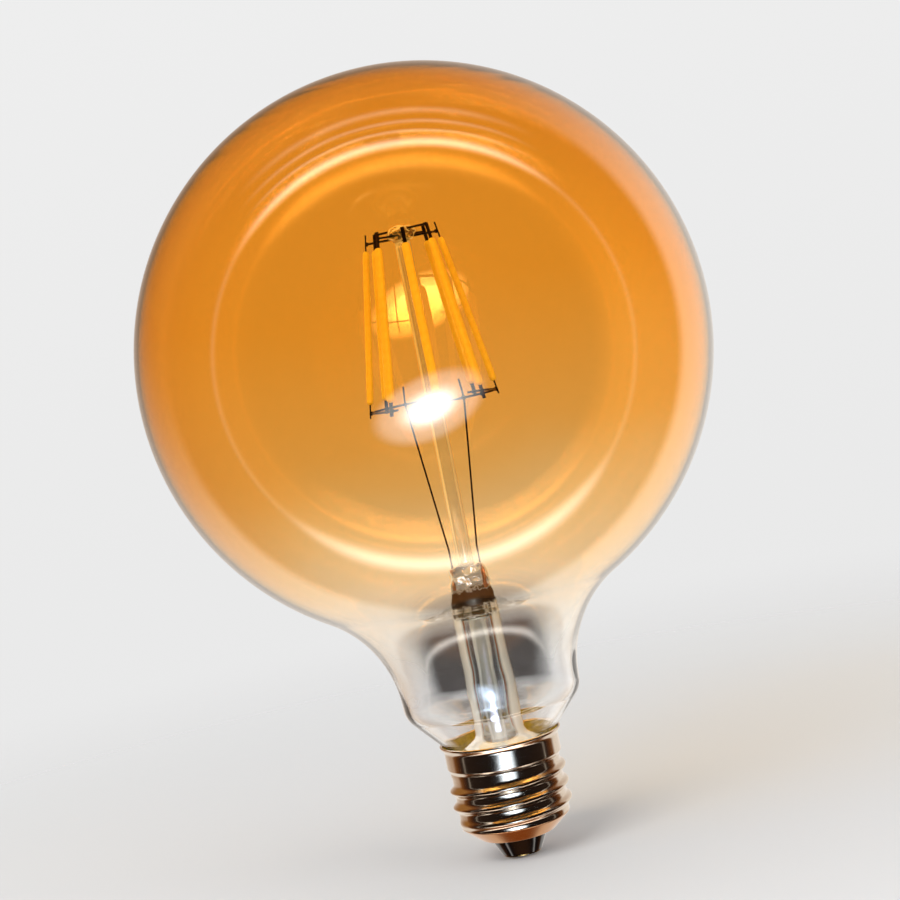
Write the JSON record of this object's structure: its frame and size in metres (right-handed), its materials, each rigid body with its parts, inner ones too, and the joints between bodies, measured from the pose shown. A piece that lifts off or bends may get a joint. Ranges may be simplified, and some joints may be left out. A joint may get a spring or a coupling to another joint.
{
  "type": "smart globe filament lamp",
  "caption": "Globe LED filament lamp in amber glass with a glass stem, a leaning cage of filaments and an Edison screw cap that holds a driver and radio.",
  "frame": {"origin": "centre of the flat on the solder contact under the cap", "axes": "+Z along the lamp's axis from the cap to the globe, +X across the flat press of the stem"},
  "size_m": [0.125, 0.125, 0.175],
  "materials": {
    "amber_glass": "amber semi-mirror coating, clear in the neck",
    "clear_glass": "clear drawn tube glass",
    "phosphor_silicone": "smooth yellow phosphor silicone",
    "filament_carrier": "white ceramic strip",
    "led_chip": "bare die",
    "support_wire": "darkened nickel wire",
    "copper": "drawn copper",
    "cap_cement": "cast cement",
    "nickel_plate": "bright nickel plate on rolled sheet",
    "black_glass": "cast black glass",
    "brass": "stamped brass",
    "solder": "smooth solder",
    "sleeve_plastic": "moulded white insulation",
    "circuit_board": "green solder mask",
    "black_epoxy": "moulded epoxy package",
    "can_aluminium": "drawn can",
    "ferrite": "ferrite drum",
    "resistor_lacquer": "lacquer",
    "radio_board": "blue solder mask",
    "tin_plate": "tin plated sheet",
    "wire_insulation": "extruded insulation"
  },
  "bodies": {
    "root": {"antenna": "copper", "bridge_rectifier": "black_epoxy", "cap_insulator": "black_glass", "cap_shell": "nickel_plate", "cement_ring": "cap_cement", "centre_contact": "brass", "contact_solder": "solder", "cross_wire_1": "support_wire", "cross_wire_2": "support_wire", "cross_wire_3": "support_wire", "cross_wire_4": "support_wire", "driver_board": "circuit_board", "driver_chip": "black_epoxy", "driver_sleeve": "sleeve_plastic", "exhaust_tube": "clear_glass", "filament_bottom_pins": "support_wire", "filament_chips_1": "led_chip", "filament_chips_2": "led_chip", "filament_chips_3": "led_chip", "filament_chips_4": "led_chip", "filament_chips_5": "led_chip", "filament_chips_6": "led_chip", "filament_chips_7": "led_chip", "filament_chips_8": "led_chip", "filament_coat_1": "phosphor_silicone", "filament_coat_2": "phosphor_silicone", "filament_coat_3": "phosphor_silicone", "filament_coat_4": "phosphor_silicone", "filament_coat_5": "phosphor_silicone", "filament_coat_6": "phosphor_silicone", "filament_coat_7": "phosphor_silicone", "filament_coat_8": "phosphor_silicone", "filament_strip_1": "filament_carrier", "filament_strip_2": "filament_carrier", "filament_strip_3": "filament_carrier", "filament_strip_4": "filament_carrier", "filament_strip_5": "filament_carrier", "filament_strip_6": "filament_carrier", "filament_strip_7": "filament_carrier", "filament_strip_8": "filament_carrier", "filament_top_pins": "support_wire", "fuse_resistor": "resistor_lacquer", "glass_envelope": "amber_glass", "inductor": "ferrite", "lead_wire_left": "support_wire", "lead_wire_right": "support_wire", "live_wire": "wire_insulation", "lower_ring_wire_left": "support_wire", "lower_ring_wire_right": "support_wire", "neutral_wire": "wire_insulation", "outer_lead_left": "copper", "outer_lead_right": "copper", "radio_module": "radio_board", "rod_bead": "clear_glass", "seal_wire_left": "copper", "seal_wire_right": "copper", "shield_can": "tin_plate", "smoothing_capacitor": "can_aluminium", "stem_flare": "clear_glass", "support_rod": "clear_glass"}
  },
  "joints": []
}
